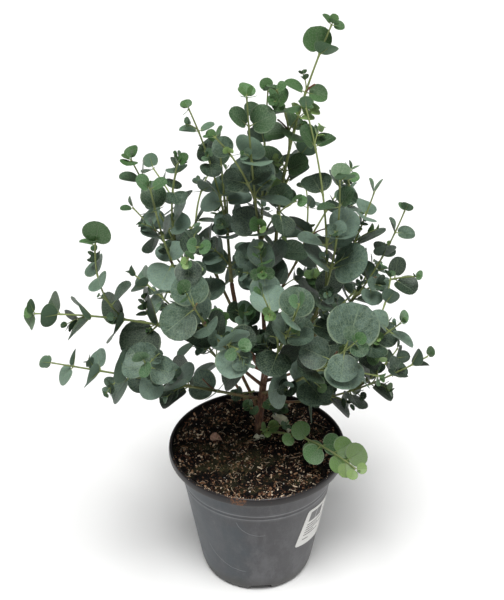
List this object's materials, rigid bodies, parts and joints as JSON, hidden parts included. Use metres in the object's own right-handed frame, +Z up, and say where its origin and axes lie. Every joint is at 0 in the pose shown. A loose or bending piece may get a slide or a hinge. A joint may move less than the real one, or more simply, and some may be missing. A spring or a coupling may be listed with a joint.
{
  "type": "potted eucalyptus plant",
  "caption": "Young eucalyptus with round blue-green leaves in opposite pairs on leafy stems, growing from one woody trunk in a round grey nursery pot of soil.",
  "frame": {"origin": "middle of the pot's underside, on its centre boss, where the pot stands", "axes": "+Z up along the pot's axis, -Y towards the side seen in the picture, +X to that view's right"},
  "size_m": [0.4054, 0.2911, 0.6301],
  "materials": {
    "pot_plastic": "grey moulded plastic, satin, scuffed",
    "soil": "damp peat and bark compost, rough",
    "sticker": "white paper label, semi-matt",
    "bark": "smooth reddish-brown young bark",
    "leaf": "waxy blue-green leaf, semi-matt with a pale bloom"
  },
  "bodies": {
    "root": {"pot": "pot_plastic", "soil": "soil", "sticker": "sticker", "trunk": "bark", "stem_tall_leader": "leaf", "stem_centre_tall": "leaf", "stem_left_upright": "leaf", "stem_left_long": "leaf", "stem_left_middle": "leaf", "stem_far_left": "leaf", "stem_left_low": "leaf", "stem_front_left": "leaf", "stem_front_centre": "leaf", "stem_front_right": "leaf", "stem_right_low": "leaf", "stem_right_middle": "leaf", "stem_right_upper": "leaf", "stem_right_outer": "leaf", "stem_right_forward": "leaf", "stem_front_low": "leaf", "stem_back_left": "leaf", "stem_back_right": "leaf", "stem_back_tall": "leaf", "stem_back_low_left": "leaf", "stem_back_low_right": "leaf"}
  },
  "joints": []
}
